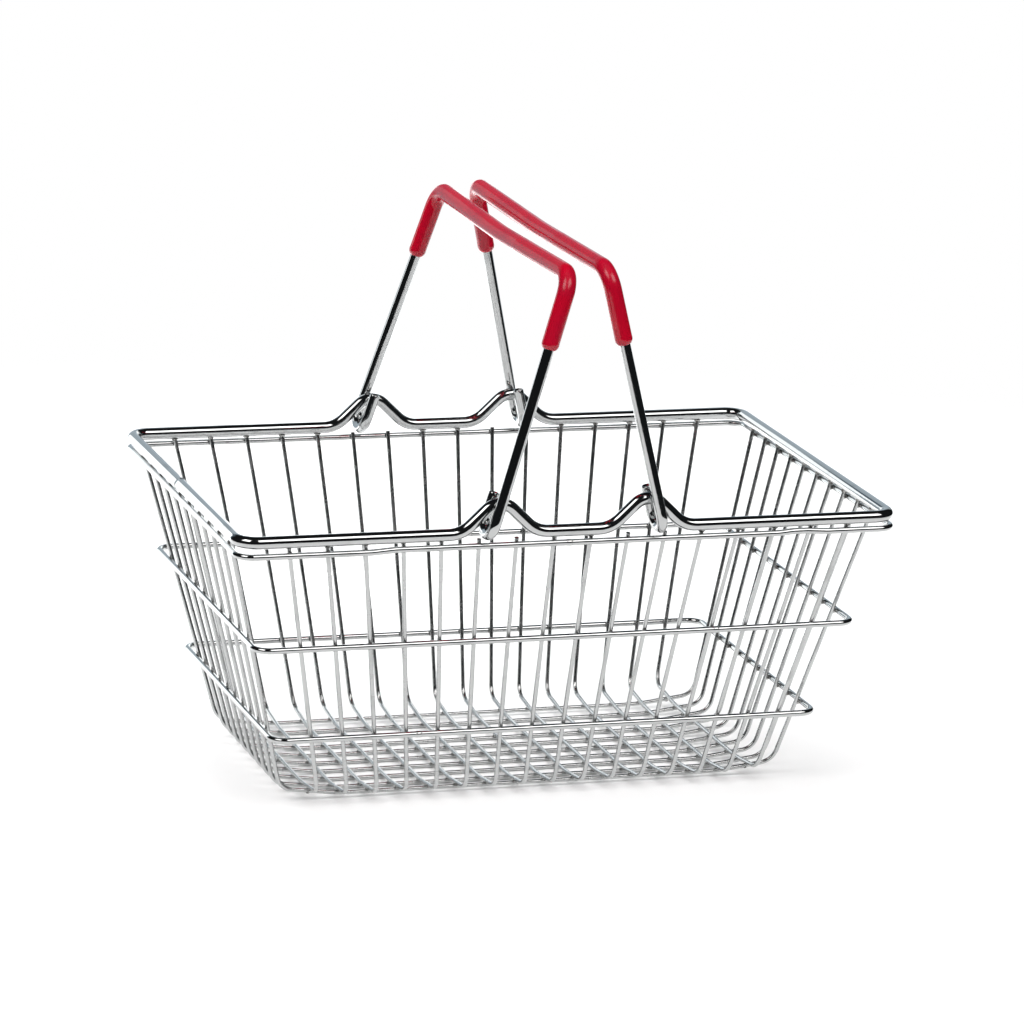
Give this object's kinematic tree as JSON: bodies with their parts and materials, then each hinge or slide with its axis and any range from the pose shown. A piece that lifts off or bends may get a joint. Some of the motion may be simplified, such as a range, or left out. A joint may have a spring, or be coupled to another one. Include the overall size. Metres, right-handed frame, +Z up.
{
  "type": "wire shopping basket",
  "caption": "Rectangular welded wire hand basket with sloping sides, a dished mesh floor, a heavy rim and two swing handles with red sleeves.",
  "frame": {"origin": "centre of the basket's footprint, on the surface it stands on", "axes": "+X along the basket's long side, +Y across it, +Z up; each handle swings about an axis along Y"},
  "size_m": [0.438, 0.3092, 0.3585],
  "materials": {
    "bright_wire": "bright plated steel wire",
    "grip_red": "glossy dipped sleeve"
  },
  "bodies": {
    "basket": {"rim_wire": "bright_wire", "upper_ring": "bright_wire", "middle_ring": "bright_wire", "lower_ring": "bright_wire", "cross_wire_01": "bright_wire", "cross_wire_02": "bright_wire", "cross_wire_03": "bright_wire", "cross_wire_04": "bright_wire", "cross_wire_05": "bright_wire", "cross_wire_06": "bright_wire", "cross_wire_07": "bright_wire", "cross_wire_08": "bright_wire", "cross_wire_09": "bright_wire", "cross_wire_10": "bright_wire", "cross_wire_11": "bright_wire", "cross_wire_12": "bright_wire", "cross_wire_13": "bright_wire", "cross_wire_14": "bright_wire", "cross_wire_15": "bright_wire", "cross_wire_16": "bright_wire", "long_wire_01": "bright_wire", "long_wire_02": "bright_wire", "long_wire_03": "bright_wire", "long_wire_04": "bright_wire", "long_wire_05": "bright_wire", "long_wire_06": "bright_wire", "long_wire_07": "bright_wire", "long_wire_08": "bright_wire", "long_wire_09": "bright_wire", "long_wire_10": "bright_wire"},
    "left_handle": {"left_handle_wire": "bright_wire", "left_grip_sleeve": "grip_red"},
    "right_handle": {"right_handle_wire": "bright_wire", "right_grip_sleeve": "grip_red"}
  },
  "joints": [
    {"name": "left_handle_fold", "type": "hinge", "parent": "basket", "child": "left_handle", "pos_m": [-0.057, 0, 0.1879], "axis": [0, -1, 0], "range_deg": [0, 100]},
    {"name": "right_handle_fold", "type": "hinge", "parent": "basket", "child": "right_handle", "pos_m": [0.057, 0, 0.1879], "axis": [0, 1, 0], "range_deg": [0, 97]}
  ]
}
